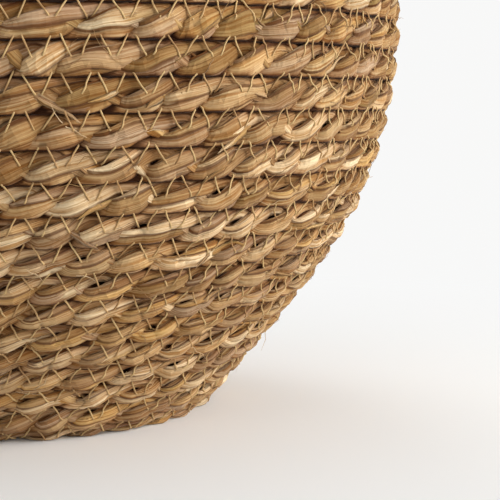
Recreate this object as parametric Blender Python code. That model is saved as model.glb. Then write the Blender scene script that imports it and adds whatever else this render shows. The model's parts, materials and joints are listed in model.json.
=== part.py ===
"""A belly basket: one braided strip, coiled from the middle of the base to the rim, with two loop handles.

The strip is a right-handed spiral. It lies flat under the base, turns up at the foot, leans out to the
belly and back in to the rim, and each of its turns is one row. Metres, +Z up, the floor at z = 0, and the
front of the basket towards -Y. The handles stand at +X and -X.
"""

import math

import bmesh
import bpy
import numpy as np
from mathutils import Vector, kdtree
from mathutils.geometry import interpolate_bezier

NAME = "belly_basket"

# The wall's middle line, from the foot to the rim. A lean is measured from level.
FOOT_RADIUS = 0.0941
FOOT_LEAN = math.radians(50.6)
CORNER_REACH = 0.008
BELLY_RADIUS = 0.198
BELLY_HEIGHT = 0.2158
RIM_RADIUS = 0.150
RIM_HEIGHT = 0.3808
RIM_LEAN = math.radians(103)
UPRIGHT = math.radians(90)
# How far each end of a stretch pulls the line its own way, as a share of the stretch's length.
CORNER_PULL_SHARE = 0.6
FOOT_PULL_SHARE = 0.371
UNDER_BELLY_PULL_SHARE = 0.45
OVER_BELLY_PULL_SHARE = 0.42
RIM_PULL_SHARE = 0.30

# The braided strip and its rows.
BASE_TURNS = 6
WALL_ROWS = 27
BRAID_THICKNESS = 0.0095
ROW_GAP = 0.0006
PIECE_GAP = 0.0003
FLOOR_CUT = 0.0005
END_RUN = 0.001
START_ANGLE = math.pi
START_TAPER_LENGTH = 0.060
START_TAPER_SHARE = 0.6
RIM_TAPER_LENGTH = 0.080
RIM_TAPER_SHARE = 0.4
# The strip's section, as shares of its half width and half thickness.
SECTION_SHARES = ((1.0, 0.0), (0.56, -1.0), (-0.56, -1.0), (-1.0, 0.0), (-0.56, 1.0), (0.56, 1.0))

# The handles: a round braid in two sewn feet and a loop that folds at the rim.
HANDLE_DIAMETER = 0.015
HANDLE_SPAN = 0.124
HANDLE_HEIGHT = 0.080
HANDLE_SQUARENESS = 2.4
HANDLE_FOOT_LENGTH = 0.046
HANDLE_SEAT_GAP = 0.0003
HANDLE_FOLD_GAP = 0.0006
HANDLE_RIM_GAP = 0.0008

# How finely the pieces are divided, and how near points count as one.
POINTS_A_TURN = 32
POINTS_A_STRETCH = 60
HANDLE_POINTS = 23
HANDLE_FOOT_POINTS = 5
ROUND_END_POINTS = 3
HANDLE_BEVEL_RESOLUTION = 2
WELD_DISTANCE = 0.00001

# The block that cuts the bottom flat at the floor, as a share of the belly's diameter.
FLOOR_BLOCK_SHARE = 1.5

# Dry seagrass, from the photograph: linear colours and a roughness.
SEAGRASS = (0.45, 0.28, 0.12)
SEAGRASS_DARK = (0.38, 0.23, 0.10)
SEAGRASS_LIGHT = (0.50, 0.33, 0.15)
SEAGRASS_ROUGHNESS = 0.75
MILLIMETRES = 1000


def clear_scene():
    for old in list(bpy.data.objects):
        bpy.data.objects.remove(old, do_unlink=True)


def new_collection(name):
    collection = bpy.data.collections.new(name)
    bpy.context.scene.collection.children.link(collection)
    return collection


def new_root(collection):
    """An empty on the floor under the middle of the basket, which carries every piece."""
    root = bpy.data.objects.new(f"{NAME}_root", None)
    collection.objects.link(root)
    return root


def seagrass(name, colour):
    material = bpy.data.materials.new(name)
    material.use_nodes = True
    shader = material.node_tree.nodes["Principled BSDF"]
    shader.inputs["Base Color"].default_value = (*colour, 1.0)
    shader.inputs["Roughness"].default_value = SEAGRASS_ROUGHNESS
    shader.inputs["Metallic"].default_value = 0.0
    return material


def leaning(lean):
    """The way the middle line runs at a lean, as radius and height."""
    return Vector((math.cos(lean), math.sin(lean)))


def pulled(start, start_lean, start_share, end, end_lean, end_share):
    """One stretch of the middle line, leaving and arriving at the leans given."""
    length = (end - start).length
    leave = start + start_share * length * leaning(start_lean)
    arrive = end - end_share * length * leaning(end_lean)
    return interpolate_bezier(start, leave, arrive, end, POINTS_A_STRETCH)


def middle_line():
    """Radius and height along the strip's middle, from the centre of the base to the rim."""
    level = BRAID_THICKNESS / 2 - FLOOR_CUT
    corner = Vector((FOOT_RADIUS, level))
    before = corner - CORNER_REACH * leaning(0.0)
    after = corner + CORNER_REACH * leaning(FOOT_LEAN)
    belly = Vector((BELLY_RADIUS, BELLY_HEIGHT))
    rim = Vector((RIM_RADIUS, RIM_HEIGHT))
    points = [Vector((0.0, level))]
    points += pulled(before, 0.0, CORNER_PULL_SHARE, after, FOOT_LEAN, CORNER_PULL_SHARE)
    points += pulled(after, FOOT_LEAN, FOOT_PULL_SHARE, belly, UPRIGHT, UNDER_BELLY_PULL_SHARE)[1:]
    points += pulled(belly, UPRIGHT, OVER_BELLY_PULL_SHARE, rim, RIM_LEAN, RIM_PULL_SHARE)[1:]
    return np.array([tuple(point) for point in points])


LINE = middle_line()
LINE_ARCS = np.concatenate([[0.0], np.cumsum(np.hypot(*np.diff(LINE, axis=0).T))])
LINE_LEANS = np.arctan2(np.gradient(LINE[:, 1], LINE_ARCS), np.gradient(LINE[:, 0], LINE_ARCS))
LINE_LENGTH = LINE_ARCS[-1]

# Each turn of the strip climbs one pitch along the line. The last turn ends at the rim's edge.
TURNS = BASE_TURNS + WALL_ROWS
PITCH = LINE_LENGTH / (TURNS + 1)
BRAID_WIDTH = PITCH - ROW_GAP


def on_line(arc):
    """Radius, height and lean of the middle line at a distance from the centre of the base."""
    radius = float(np.interp(arc, LINE_ARCS, LINE[:, 0]))
    height = float(np.interp(arc, LINE_ARCS, LINE[:, 1]))
    return radius, height, float(np.interp(arc, LINE_ARCS, LINE_LEANS))


def grown(run, taper_length, least_share):
    """Share of its full size that the strip has at a run from its tapered end."""
    part = min(run / taper_length, 1.0)
    return least_share + (1.0 - least_share) * math.sin(part * math.pi / 2)


def strip_point(turn):
    """Middle, lean and size of the strip's section, that many turns along.

    The start keeps its outer edge, which lies on the next turn, and the rim's end keeps its lower edge.
    """
    start = grown(turn * math.tau * PITCH, START_TAPER_LENGTH, START_TAPER_SHARE)
    finish = grown((TURNS - turn) * math.tau * RIM_RADIUS, RIM_TAPER_LENGTH, RIM_TAPER_SHARE)
    radius, height, lean = on_line(PITCH * (turn + 0.5) + PITCH / 2 * (finish - start))
    angle = START_ANGLE + math.tau * turn
    slope = math.atan2(PITCH, math.tau * radius)
    place = Vector((radius * math.sin(angle), -radius * math.cos(angle), height))
    return place, lean, start * finish * math.cos(slope)


def turns_between(first, last):
    """Where a piece's sections stand: its two ends, a short run inside each, and evenly between."""
    stops = []
    for turn, inward in ((first, 1.0), (last, -1.0)):
        radius = on_line(PITCH * (turn + 0.5))[0]
        for run in (PIECE_GAP / 2, PIECE_GAP / 2 + END_RUN):
            stops.append(turn + inward * run / (math.tau * radius))
    steps = round((last - first) * POINTS_A_TURN)
    between = [first + step / POINTS_A_TURN for step in range(1, steps)]
    return sorted(stops + [turn for turn in between if stops[1] < turn < stops[3]])


def braid_section(cutters):
    """The strip's section: flat outside and inside, and narrowing to the seams above and below."""
    curve = bpy.data.curves.new("braid_section", "CURVE")
    curve.dimensions = "2D"
    spline = curve.splines.new("POLY")
    spline.points.add(len(SECTION_SHARES) - 1)
    for point, (across, through) in zip(spline.points, SECTION_SHARES):
        point.co = (across * BRAID_WIDTH / 2, through * BRAID_THICKNESS / 2, 0.0, 1.0)
    spline.use_cyclic_u = True
    section = bpy.data.objects.new("braid_section", curve)
    section.hide_render = True
    section.display_type = "WIRE"
    cutters.objects.link(section)
    return section


def strip(name, first, last, section, material, root):
    """One piece of the coiled strip, from one turn count to another."""
    curve = bpy.data.curves.new(name, "CURVE")
    curve.dimensions = "3D"
    curve.twist_mode = "Z_UP"
    curve.bevel_mode = "OBJECT"
    curve.bevel_object = section
    curve.use_fill_caps = True
    turns = turns_between(first, last)
    spline = curve.splines.new("POLY")
    spline.points.add(len(turns) - 1)
    for point, turn in zip(spline.points, turns):
        place, lean, size = strip_point(turn)
        point.co = (*place, 1.0)
        point.tilt = -lean
        point.radius = size
    curve.materials.append(material)
    return placed(name, curve, root)


def placed(name, data, root):
    """An object of this shape, carried by the root and in its collection."""
    piece = bpy.data.objects.new(name, data)
    piece.parent = root
    root.users_collection[0].objects.link(piece)
    return piece


def as_mesh(piece):
    """The curve as a mesh object of the same name, its caps welded to its sides."""
    graph = bpy.context.evaluated_depsgraph_get()
    mesh = bpy.data.meshes.new_from_object(piece.evaluated_get(graph))
    edited = bmesh.new()
    edited.from_mesh(mesh)
    bmesh.ops.remove_doubles(edited, verts=edited.verts, dist=WELD_DISTANCE)
    edited.to_mesh(mesh)
    edited.free()
    name, root, place = piece.name, piece.parent, piece.matrix_world.copy()
    bpy.data.objects.remove(piece, do_unlink=True)
    solid = placed(name, mesh, root)
    solid.matrix_world = place
    return solid


def floor_block(cutters):
    """A block whose top is the floor."""
    bpy.ops.mesh.primitive_cube_add(size=1.0)
    cutter = bpy.context.object
    cutter.name = "floor_block"
    side = FLOOR_BLOCK_SHARE * 2 * BELLY_RADIUS
    cutter.scale = (side, side, BRAID_THICKNESS)
    cutter.location = (0.0, 0.0, -BRAID_THICKNESS / 2)
    cutter.hide_render = True
    cutter.display_type = "WIRE"
    for old in list(cutter.users_collection):
        old.objects.unlink(cutter)
    cutters.objects.link(cutter)
    return cutter


def cut_flat(piece, cutter):
    """What the basket stands on is cut flat at the floor."""
    cut = as_mesh(piece).modifiers.new("floor", "BOOLEAN")
    cut.operation = "DIFFERENCE"
    cut.object = cutter


def least_gap(piece):
    """The least distance between two turns of an uncut piece, on its mesh's points, ring after ring.

    The points of its two caps, which come last, are those of its end rings once more, and are left out.
    """
    graph = bpy.context.evaluated_depsgraph_get()
    mesh = bpy.data.meshes.new_from_object(piece.evaluated_get(graph))
    sides = len(mesh.vertices) - 2 * len(SECTION_SHARES)
    points = [vertex.co.copy() for vertex in mesh.vertices[:sides]]
    bpy.data.meshes.remove(mesh)
    tree = kdtree.KDTree(len(points))
    for index, point in enumerate(points):
        tree.insert(point, index)
    tree.balance()
    least = PITCH
    for index, point in enumerate(points):
        ring = index // len(SECTION_SHARES)
        for _, other, distance in tree.find_range(point, PITCH / 2):
            if abs(other // len(SECTION_SHARES) - ring) > POINTS_A_TURN / 2:
                least = min(least, distance)
    return least


def row_name(row):
    return "rim_row" if row == WALL_ROWS else f"wall_row_{row:02d}"


def coiled_wall(cutters, root):
    """The base and the rows of the wall, each a piece of the same spiral strip."""
    section = braid_section(cutters)
    cutter = floor_block(cutters)
    base_material = seagrass("seagrass_base", SEAGRASS_DARK)
    wall_material = seagrass("seagrass_wall", SEAGRASS)
    rim_material = seagrass("seagrass_rim", SEAGRASS_LIGHT)
    base = strip("base_coil", 0, BASE_TURNS, section, base_material, root)
    print("least gap of the base coil to itself:", round(least_gap(base) * MILLIMETRES, 3), "mm")
    cut_flat(base, cutter)
    for row in range(1, WALL_ROWS + 1):
        first = BASE_TURNS + row - 1
        material = rim_material if row == WALL_ROWS else wall_material
        piece = strip(row_name(row), first, first + 1, section, material, root)
        if row == 1:
            cut_flat(piece, cutter)


def rounded_end(centre, along):
    """Points and sizes that close the round braid in half a ball, from its centre outwards."""
    steps = [math.pi / 2 * (step + 0.5) / ROUND_END_POINTS for step in range(ROUND_END_POINTS)]
    return [(centre + along * HANDLE_DIAMETER / 2 * math.sin(step), math.cos(step)) for step in steps]


def round_braid(name, middles, material, root):
    """A round braid through its middles, with rounded ends. Its origin is the first of them."""
    head = rounded_end(middles[0], (middles[0] - middles[1]).normalized())
    tail = rounded_end(middles[-1], (middles[-1] - middles[-2]).normalized())
    points = head[::-1] + [(middle, 1.0) for middle in middles] + tail
    curve = bpy.data.curves.new(name, "CURVE")
    curve.dimensions = "3D"
    curve.bevel_depth = HANDLE_DIAMETER / 2
    curve.bevel_resolution = HANDLE_BEVEL_RESOLUTION
    curve.use_fill_caps = True
    spline = curve.splines.new("POLY")
    spline.points.add(len(points) - 1)
    for point, (place, size) in zip(spline.points, points):
        point.co = (*(place - middles[0]), 1.0)
        point.radius = size
    curve.materials.append(material)
    piece = placed(name, curve, root)
    piece.location = middles[0]
    return piece


def rim_top():
    """Height of the rim's upper edge beside the handle at +X, a quarter turn before the strip's end."""
    return on_line(LINE_LENGTH - PITCH / 4)[1]


def foot_place(arc):
    """Distance from the middle, height and lean of a sewn-on foot's centre line."""
    radius, height, lean = on_line(arc)
    stand_off = BRAID_THICKNESS / 2 + HANDLE_SEAT_GAP + HANDLE_DIAMETER / 2
    return radius + stand_off * math.sin(lean), height - stand_off * math.cos(lean), lean


def fold_line():
    """Distance from the middle and height of the loops' ends, and the arc of the feet's tops.

    The loop's end and the foot's top are half balls that nearly touch, one above the other.
    """
    height = rim_top() + HANDLE_RIM_GAP + HANDLE_DIAMETER / 2
    reach = HANDLE_DIAMETER + HANDLE_FOLD_GAP
    arcs = np.linspace(LINE_LENGTH - HANDLE_FOOT_LENGTH, LINE_LENGTH, POINTS_A_STRETCH)
    tops = [foot_place(arc) for arc in arcs]
    heights = [low + reach * math.sin(lean) for _, low, lean in tops]
    top_arc = float(np.interp(height, heights, arcs))
    out, _, lean = foot_place(top_arc)
    return out + reach * math.cos(lean), height, top_arc


def handle_foot(name, outward, top_arc, material, root):
    """A foot sewn to the outside of the wall, from its top down."""
    middles = []
    for arc in np.linspace(top_arc, top_arc - HANDLE_FOOT_LENGTH, HANDLE_FOOT_POINTS):
        radius, height, _ = foot_place(arc)
        middles.append(outward * radius + Vector((0.0, 0.0, height)))
    round_braid(name, middles, material, root)


def handle_loop(name, end, material, root):
    """The loop from its front end, on the fold axis, over to its back end."""
    middles = []
    for step in range(HANDLE_POINTS):
        angle = math.pi * step / (HANDLE_POINTS - 1)
        across = math.copysign(abs(math.cos(angle)) ** (2 / HANDLE_SQUARENESS), math.cos(angle))
        rise = abs(math.sin(angle)) ** (2 / HANDLE_SQUARENESS)
        middles.append(end + Vector((0.0, (1.0 - across) * HANDLE_SPAN / 2, rise * HANDLE_HEIGHT)))
    return round_braid(name, middles, material, root)


def handle(side, name, material, root):
    """One handle, at +X for side 1 and at -X for side -1. Its fold axis is level, along Y."""
    out, height, top_arc = fold_line()
    around = math.asin(HANDLE_SPAN / 2 / out)
    for place, turned in (("front", -around), ("back", around)):
        outward = Vector((side * math.cos(turned), math.sin(turned), 0.0))
        handle_foot(f"{name}_{place}_foot", outward, top_arc, material, root)
    end = Vector((side * out * math.cos(around), -HANDLE_SPAN / 2, height))
    loop = handle_loop(f"{name}_loop", end, material, root)
    axis = [round(value * MILLIMETRES, 3) for value in loop.location]
    print(f"{name} folds about a line along Y through {axis} mm")


def main():
    clear_scene()
    collection = new_collection(NAME)
    cutters = new_collection("cutters")
    root = new_root(collection)
    coiled_wall(cutters, root)
    handle_material = seagrass("seagrass_handle", SEAGRASS_LIGHT)
    handle(1, "right_handle", handle_material, root)
    handle(-1, "left_handle", handle_material, root)
    print("row pitch:", round(PITCH * MILLIMETRES, 3), "mm")


main()
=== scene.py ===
"""Belly basket: the seagrass braid, its sewing thread and its handles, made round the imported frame.

The basket is one three-strand braid, coiled from the middle of the base to the rim and sewn row to row
with a zigzag of thread. A path runs along each row, and Geometry Nodes plait the strands, sew the thread
and add the loose fibres along it. Metres, +Z up, the front of the basket towards -Y.
"""

import json
import math

import bpy
import numpy as np
from bpy.props import FloatProperty, FloatVectorProperty, IntProperty, PointerProperty
from mathutils import Matrix, Vector
from mathutils.geometry import interpolate_bezier


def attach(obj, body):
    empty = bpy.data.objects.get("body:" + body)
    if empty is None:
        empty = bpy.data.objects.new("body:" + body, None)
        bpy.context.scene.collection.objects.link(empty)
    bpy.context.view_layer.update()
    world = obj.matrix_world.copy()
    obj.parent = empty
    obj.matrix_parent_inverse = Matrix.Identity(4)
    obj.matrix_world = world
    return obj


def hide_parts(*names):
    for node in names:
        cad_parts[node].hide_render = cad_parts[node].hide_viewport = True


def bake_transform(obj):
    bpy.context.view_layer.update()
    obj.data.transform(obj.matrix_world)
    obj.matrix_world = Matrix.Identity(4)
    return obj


bl_info = {
    "name": "Belly Basket",
    "version": (1, 0, 0),
    "blender": (4, 5, 0),
    "location": "View3D > Sidebar > Basket",
    "description": "Plaits, sews and stages a coiled seagrass belly basket",
    "category": "Add Mesh",
}

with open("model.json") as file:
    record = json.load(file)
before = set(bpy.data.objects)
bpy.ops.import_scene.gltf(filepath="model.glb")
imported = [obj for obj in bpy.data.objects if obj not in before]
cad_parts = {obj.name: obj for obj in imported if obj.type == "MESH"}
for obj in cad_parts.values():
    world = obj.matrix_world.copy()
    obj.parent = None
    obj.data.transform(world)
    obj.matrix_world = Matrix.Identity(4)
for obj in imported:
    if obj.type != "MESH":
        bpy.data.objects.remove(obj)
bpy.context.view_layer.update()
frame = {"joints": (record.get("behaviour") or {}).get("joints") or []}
FOLDS = {joint["child"]: joint["pos_m"] for joint in frame["joints"]}

# The line that the strip's middle follows from the centre of the base to the rim, as on the frame.
FOOT_RADIUS = 0.0941
FOOT_LEAN = math.radians(50.6)
CORNER_REACH = 0.008
BELLY_RADIUS = 0.198
BELLY_HEIGHT = 0.2158
RIM_RADIUS = 0.150
RIM_HEIGHT = 0.3808
RIM_LEAN = math.radians(103)
UPRIGHT = math.radians(90)
CORNER_PULL_SHARE = 0.6
FOOT_PULL_SHARE = 0.371
UNDER_BELLY_PULL_SHARE = 0.45
OVER_BELLY_PULL_SHARE = 0.42
RIM_PULL_SHARE = 0.30
POINTS_A_STRETCH = 60

# The strip's turns, as on the frame. They are counted from its start, at the back of the base's centre,
# where no turn counts as smaller than the smallest radius.
BASE_TURNS = 6
WALL_ROWS = 27
TURNS = BASE_TURNS + WALL_ROWS
BRAID_THICKNESS = 0.0095
FLOOR_CUT = 0.0005
START_ANGLE = math.pi
TURN_SAMPLES = 8000
SMALLEST_RADIUS = 0.002

# What differs from the frame: the braid starts further in and hardly tapers there, so that it nearly
# closes the base's centre, it tapers further at the rim, and the edge of the row round the foot is lifted.
BASE_START = -0.42
START_TAPER_LENGTH = 0.060
START_TAPER_SHARE = 0.92
RIM_TAPER_LENGTH = 0.12
RIM_TAPER_SHARE = 0.12
FOOT_LIFT = math.radians(16)
FOOT_LIFT_TURNS = 0.6

# A strand is a bundle of leaves, each four points wide round the strand. The powers say how square its
# section is and how sharply the neighbours stop it. Nothing lies lower than the clearance over the floor.
STRANDS = 3
LEAVES = 4
POINTS_A_LEAF = 4
COLUMNS = LEAVES * POINTS_A_LEAF
STRAND_POWER = 3.0
SQUEEZE_POWER = 7.0
CLEARANCE = 0.0003

# How far a braid is shut in by its neighbours, which sets how much painted shade darkens its sides. It is 1
# for those not named.
SHUT_IN = {"base_braid_3": 0.3, "row_braid_01": 0.5, "rim_braid": 0.0}

# The stretches of seam that are sewn in one go: the turn counts where each starts and ends. Each hole
# strays a little up or down and goes right through the wall, and each leg of thread is a little skew.
SEAMS = {"base_thread": (0.35, BASE_TURNS - 0.5), "foot_thread": (BASE_TURNS - 0.5, 14.0),
         "belly_thread": (14.0, 24.0), "rim_thread": (24.0, TURNS - 1.0)}
SEAM_STEP = 0.004
STITCH_SEED = 3
HOLE_STRAY = 0.0007
LEG_SKEW = 0.0009
WALL_REACH = 0.016

# The handles, as on the frame.
HANDLE_DIAMETER = 0.015
HANDLE_SPAN = 0.124
HANDLE_HEIGHT = 0.080
HANDLE_SQUARENESS = 2.4
HANDLE_FOOT_LENGTH = 0.046
HANDLE_SEAT_GAP = 0.0003
HANDLE_FOLD_GAP = 0.0006
HANDLE_POINTS = 23
HANDLE_FOOT_POINTS = 10

# The handles' own braid. It is lashed between two distances from each of its ends.
HANDLE_STEP = 0.0019
HANDLE_TAPER_LENGTH = 0.012
HANDLE_TAPER_SHARE = 0.55
HANDLE_PLAIT = {
    "Strand Width": 0.0088, "Strand Thickness": 0.0072, "Sway": 0.0034, "Rise": 0.0032, "Overlap": 0.0,
    "Plait Length": 0.052, "Half Braid": 0.0085, "Shut In": 0.0, "Pinch": 0.0}
LASHED = (0.006, 0.036)
LASHING = {"Spacing": 0.0050, "Half Width": 0.0086, "Half Depth": 0.0070, "Through": 0.0045, "Slant": 0.0016}
LASHING_THREAD_SHARE = 1.2
LASHING_POWER = 2.6
LASHING_STRAY = 0.0008

# Leaf ends and fibres that stand off the braid, so many a square metre outside and fewer inside. None
# starts under the bare height, and each starts a tuck deep under the surface.
LOOSE = {
    "leaf_ends": {"Density": 380.0, "Length": 0.018, "Width": 0.0034, "Thickness": 0.0003, "Lift": 0.0022,
                  "Bend": 0.4, "Points": 9, "Seed": 11, "Reach": 0.006},
    "fibres": {"Density": 1500.0, "Length": 0.016, "Width": 0.00042, "Thickness": 0.0003, "Lift": 0.0036,
               "Bend": 1.4, "Points": 7, "Seed": 23, "Reach": 0.006}}
LOOSE_INSIDE_SHARE = 0.3
BARE_HEIGHT = 0.012
LEAF_TUCK = 0.0012

# What the camera sees of the world, and of the floor, which turns to it between two distances from the
# basket's middle.
GLOW = (0.94, 0.94, 0.935)
GLOW_START = 0.11
GLOW_FULL = 0.62


def length(name, description, value):
    return FloatProperty(name=name, description=description, default=value, unit="LENGTH")


def angle(name, description, degrees):
    return FloatProperty(
        name=name, description=description, default=math.radians(degrees), subtype="ANGLE")


def share(name, description, value, least, most):
    return FloatProperty(name=name, description=description, default=value, min=least, max=most)


def tone(name, description, colour):
    return FloatVectorProperty(
        name=name, description=description, default=colour, subtype="COLOR", size=3, min=0.0, max=1.0)


class BasketSizes(bpy.types.PropertyGroup):
    """The sizes of the braid, the thread and the handles."""

    row_lean: angle("Row lean", "How far each row leans, its lower edge outwards", 7.5)
    plait_length: length(
        "Plait length", "Length in which one strand crosses the braid and comes back", 0.066)
    strand_width: length("Strand width", "Width of one strand where it lies flat", 0.0124)
    strand_thickness: length("Strand thickness", "Thickness of one strand", 0.0060)
    sway: length("Sway", "How far a strand swings to each side of the braid", 0.0068)
    half_braid: length(
        "Half braid", "How far the braid reaches to each side, pressed between its neighbours", 0.0080)
    squareness: share(
        "Squareness", "How much longer than a plain wave a strand stays at each side, or shorter below 0",
        -0.32, -0.4, 1.0)
    rise: length("Rise", "How far a strand rises over the next", 0.0012)
    overlap: length("Overlap", "How much higher a strand lies on its way up than on its way down", 0.0019)
    roll: angle("Roll", "How much a crossing strand lifts the edge that lies over the other strand", 20)
    lead: angle("Lead", "How much of a turn before its crossing a strand's edge starts to lift", 30)
    narrowing: share(
        "Narrowing", "Share of its width that a strand loses where it lies beneath", 0.12, 0.0, 0.8)
    leaf_edge: length("Leaf edge", "How far the edge of a leaf stands off the next leaf", 0.0008)
    leaf_turn: length("Leaf turn", "Length in which the leaves wind once round their strand", 0.24)
    step: length("Step", "Distance between two rings of points along a strand", 0.0023)
    stitch: length("Stitch", "Length of one V of the sewing along a row", 0.0150)
    stitch_above: length("Stitch above", "How far above the seam the thread goes in", 0.0030)
    stitch_below: length("Stitch below", "How far below the seam the thread goes in", 0.0072)
    stitch_gap: length(
        "Stitch gap", "Distance between two holes that the thread joins on the inside", 0.0020)
    thread_radius: length("Thread radius", "Half the thickness of the thread", 0.00042)
    pinch: length("Pinch", "How deep the thread presses the braid at a hole", 0.0013)
    pinch_radius: length("Pinch radius", "How far round a hole the braid is pressed", 0.0022)
    seed: IntProperty(name="Seed", description="Which of the possible baskets is plaited", default=7)


class BasketColours(bpy.types.PropertyGroup):
    """The colours of the leaves, the thread and the stage."""

    tan: tone("Tan", "Most of the leaves", (0.430, 0.256, 0.104))
    straw: tone("Straw", "The paler leaves", (0.590, 0.395, 0.200))
    cream: tone("Cream", "The palest leaves", (0.780, 0.590, 0.360))
    olive: tone("Olive", "Leaves that dried with some green", (0.330, 0.205, 0.074))
    ash: tone("Ash", "Leaves that dried greyish pink", (0.470, 0.318, 0.195))
    honey: tone("Honey", "The few golden leaves", (0.590, 0.360, 0.130))
    streak: tone("Streak", "What a leaf's colour is multiplied by in its dark streaks", (0.540, 0.370, 0.200))
    rust: tone("Rust", "The brown streaks at a leaf's edges", (0.095, 0.029, 0.006))
    # Painted shade: the next tint darkens the leaves where strands meet, and also gives the thread its darker
    # patches. The hollow colour after it is a near-black painted shadow deep between the strands and round
    # the thread's holes.
    shade_and_patch_tint: tone("Shade and patch tint", "What a leaf's colour is multiplied by where strands meet", (0.420, 0.190, 0.045))
    hollow_shadow: tone("Hollow shadow", "Deep between the strands", (0.016, 0.0040, 0.0006))
    thread: tone("Thread", "The sewing thread", (0.560, 0.380, 0.165))
    floor: tone("Floor", "The floor and the backdrop", (0.92, 0.92, 0.905))


def sizes():
    return bpy.context.scene.basket_sizes


def colours():
    return bpy.context.scene.basket_colours


# The line and the strip.


def leaning(lean):
    """The way the middle line runs at a lean, as radius and height."""
    return Vector((math.cos(lean), math.sin(lean)))


def pulled(start, start_lean, start_share, end, end_lean, end_share):
    """One stretch of the middle line, leaving and arriving at the leans given."""
    reach = (end - start).length
    leave = start + start_share * reach * leaning(start_lean)
    arrive = end - end_share * reach * leaning(end_lean)
    return interpolate_bezier(start, leave, arrive, end, POINTS_A_STRETCH)


def middle_line():
    """Radius and height along the strip's middle, from the centre of the base to the rim."""
    level = BRAID_THICKNESS / 2 - FLOOR_CUT
    corner = Vector((FOOT_RADIUS, level))
    before = corner - CORNER_REACH * leaning(0.0)
    after = corner + CORNER_REACH * leaning(FOOT_LEAN)
    belly = Vector((BELLY_RADIUS, BELLY_HEIGHT))
    rim = Vector((RIM_RADIUS, RIM_HEIGHT))
    points = [Vector((0.0, level))]
    points += pulled(before, 0.0, CORNER_PULL_SHARE, after, FOOT_LEAN, CORNER_PULL_SHARE)
    points += pulled(after, FOOT_LEAN, FOOT_PULL_SHARE, belly, UPRIGHT, UNDER_BELLY_PULL_SHARE)[1:]
    points += pulled(belly, UPRIGHT, OVER_BELLY_PULL_SHARE, rim, RIM_LEAN, RIM_PULL_SHARE)[1:]
    return np.array([tuple(point) for point in points])


LINE = middle_line()
LINE_ARCS = np.concatenate([[0.0], np.cumsum(np.hypot(*np.diff(LINE, axis=0).T))])
LINE_LEANS = np.arctan2(np.gradient(LINE[:, 1], LINE_ARCS), np.gradient(LINE[:, 0], LINE_ARCS))
LINE_LENGTH = LINE_ARCS[-1]
PITCH = LINE_LENGTH / (TURNS + 1)


def on_line(arcs):
    """Radius, height and lean of the middle line at distances from the centre of the base."""
    return [np.interp(arcs, LINE_ARCS, values) for values in (LINE[:, 0], LINE[:, 1], LINE_LEANS)]


# How far the strip has run at each of many turn counts.
TURN_TABLE = np.linspace(-0.5, TURNS + 0.5, TURN_SAMPLES)
RUN_STEPS = math.tau * np.maximum(on_line(PITCH * (TURN_TABLE + 0.5))[0], SMALLEST_RADIUS)
RUN_TABLE = np.cumsum(RUN_STEPS) * (TURN_TABLE[1] - TURN_TABLE[0])


def turns_between(first, last, step):
    """Turn counts from one to another, evenly spaced along the strip."""
    runs = np.interp([first, last], TURN_TABLE, RUN_TABLE)
    count = max(8, int(math.ceil((runs[1] - runs[0]) / step)) + 1)
    return np.interp(np.linspace(*runs, count), RUN_TABLE, TURN_TABLE)


def grown(run, taper_length, least_share):
    """Share of its full size that the strip has at a run from its tapered end."""
    part = np.clip(run / taper_length, 0.0, 1.0)
    return least_share + (1.0 - least_share) * np.sin(part * math.pi / 2)


def unit(vectors):
    return vectors / np.linalg.norm(vectors, axis=1)[:, None]


def strip_ways(turns, shift=0.0):
    """Places along the strip and the ways out of it, across it and ahead, and its share of its full size.

    A shift is a number of pitches across, to a line that doesn't taper.
    """
    start = finish = np.ones_like(turns)
    if not shift:
        start = grown(turns * math.tau * PITCH, START_TAPER_LENGTH, START_TAPER_SHARE)
        finish = grown((TURNS - turns) * math.tau * RIM_RADIUS, RIM_TAPER_LENGTH, RIM_TAPER_SHARE)
    radius, height, lean = on_line(PITCH * (turns + 0.5 + shift) + PITCH / 2 * (finish - start))
    around = START_ANGLE + math.tau * turns
    spoke = np.stack([np.sin(around), -np.cos(around), np.zeros_like(around)], 1)
    place = spoke * radius[:, None]
    place[:, 2] = height
    across = spoke * np.cos(lean)[:, None]
    across[:, 2] = np.sin(lean)
    ahead = unit(np.gradient(place, axis=0))
    across = unit(across - ahead * (across * ahead).sum(1)[:, None])
    return place, np.cross(ahead, across), across, ahead, start * finish


# Node trees.


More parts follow.
